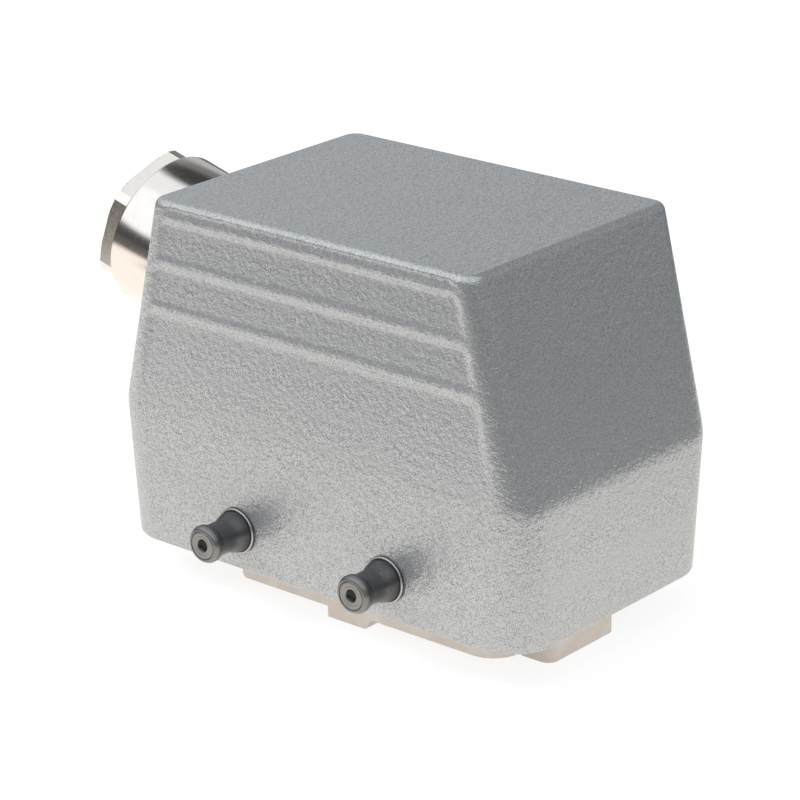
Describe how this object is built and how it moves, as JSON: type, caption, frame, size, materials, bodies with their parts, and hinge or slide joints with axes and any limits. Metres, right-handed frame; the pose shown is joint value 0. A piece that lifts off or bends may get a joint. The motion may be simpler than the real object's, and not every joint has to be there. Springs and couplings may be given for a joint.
{
  "type": "heavy duty rectangular connector",
  "caption": "Rectangular die-cast connector hood with pin insert, locking pegs and a side cable gland whose nut screws in and out.",
  "frame": {"origin": "centre of the hood's open rim, in the plane of the rim", "axes": "+Z from the rim to the roof, +X along the long side away from the cable gland, -Y towards the front side"},
  "size_m": [0.0889, 0.0574, 0.0564],
  "materials": {
    "hood_paint": "grey powder coat with a fine fleck",
    "peg_steel": "turned and burnished dark",
    "insert_moulding": "moulded, slightly glossy",
    "contact_silver": "silver plated copper alloy",
    "screw_steel": "zinc plated",
    "plated_steel": "zinc plated sheet",
    "nickel_brass": "nickel plated brass, polished",
    "slip_ring_brass": "plain brass",
    "seal_rubber": "smooth black rubber"
  },
  "bodies": {
    "hood": {"hood_shell": "hood_paint", "locking_peg_front_left": "peg_steel", "locking_peg_front_right": "peg_steel", "locking_peg_rear_left": "peg_steel", "locking_peg_rear_right": "peg_steel", "insert_body": "insert_moulding", "contact_pin_1": "contact_silver", "contact_pin_2": "contact_silver", "contact_pin_3": "contact_silver", "contact_pin_4": "contact_silver", "contact_pin_5": "contact_silver", "contact_pin_6": "contact_silver", "contact_pin_7": "contact_silver", "contact_pin_8": "contact_silver", "contact_pin_9": "contact_silver", "contact_pin_10": "contact_silver", "terminal_screws": "screw_steel", "earth_plate_left": "plated_steel", "earth_plate_right": "plated_steel", "earth_washers": "plated_steel", "earth_screws": "screw_steel", "insert_screws": "screw_steel", "gland_body": "nickel_brass", "gland_o_ring": "seal_rubber", "gland_seal": "seal_rubber"},
    "slip": {"gland_slip_ring": "slip_ring_brass"},
    "nut": {"gland_nut": "nickel_brass"}
  },
  "joints": [
    {"name": "nut_travel", "type": "slide", "parent": "hood", "child": "slip", "axis": [-0.9642, 0, 0.2652], "range_m": [0, 0.0045]},
    {"name": "nut_turn", "type": "hinge", "parent": "slip", "child": "nut", "pos_m": [-0.03296, 0, 0.03435], "axis": [-0.9642, 0, 0.2652], "range_deg": [0, 1080]}
  ],
  "couplings": [
    {"joint": "nut_travel", "follows": "nut_turn", "m_per_rad": 0.00023873}
  ]
}
